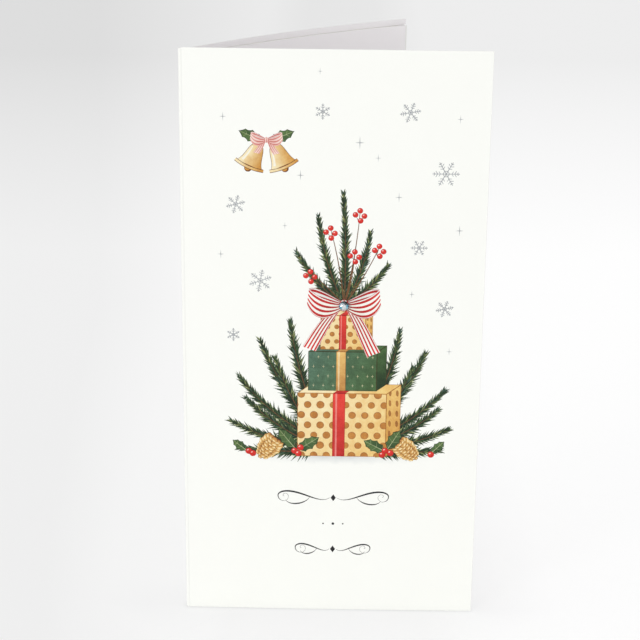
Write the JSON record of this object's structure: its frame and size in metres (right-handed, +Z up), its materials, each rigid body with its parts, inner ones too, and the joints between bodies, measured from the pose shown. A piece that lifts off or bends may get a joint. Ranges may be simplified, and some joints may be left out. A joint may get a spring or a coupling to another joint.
{
  "type": "money gift wallet",
  "caption": "Tall folded card wallet for giving money: front cover on a creased spine, bowed back cover with a folded-in pocket, and a small faceted stone on the front.",
  "frame": {"origin": "middle of the bounding box in plan, at the floor that the wallet stands on", "axes": "+Z up along the spine; -Y out of the front cover's face; -X towards the spine, +X towards the free edges"},
  "size_m": [0.1, 0.0672, 0.198],
  "materials": {
    "white_card": "smooth matt white card, about 350 g/m2",
    "crease_card": "the same card, creased",
    "inner_card": "the same card, uncoated inner side",
    "clear_tape": "double-sided tape",
    "cut_crystal": "clear faceted crystal with an iridescent coat",
    "mirror_foil": "silver foil",
    "clear_glue": "clear glue dot"
  },
  "bodies": {
    "back": {"back_cover": "white_card", "spine_fold": "crease_card", "pocket_fold": "crease_card", "pocket_panel": "inner_card", "top_glue_strip": "clear_tape", "bottom_glue_strip": "clear_tape"},
    "front": {"front_cover": "white_card", "gem_glue": "clear_glue", "gem_foil": "mirror_foil", "gem_crystal": "cut_crystal"}
  },
  "joints": [
    {"name": "cover_fold", "type": "hinge", "parent": "back", "child": "front", "pos_m": [-0.0489, -0.03078, 0.099], "axis": [0, 0, -1], "range_deg": [-40.8, 138.6], "deforming": ["spine_fold"]}
  ]
}
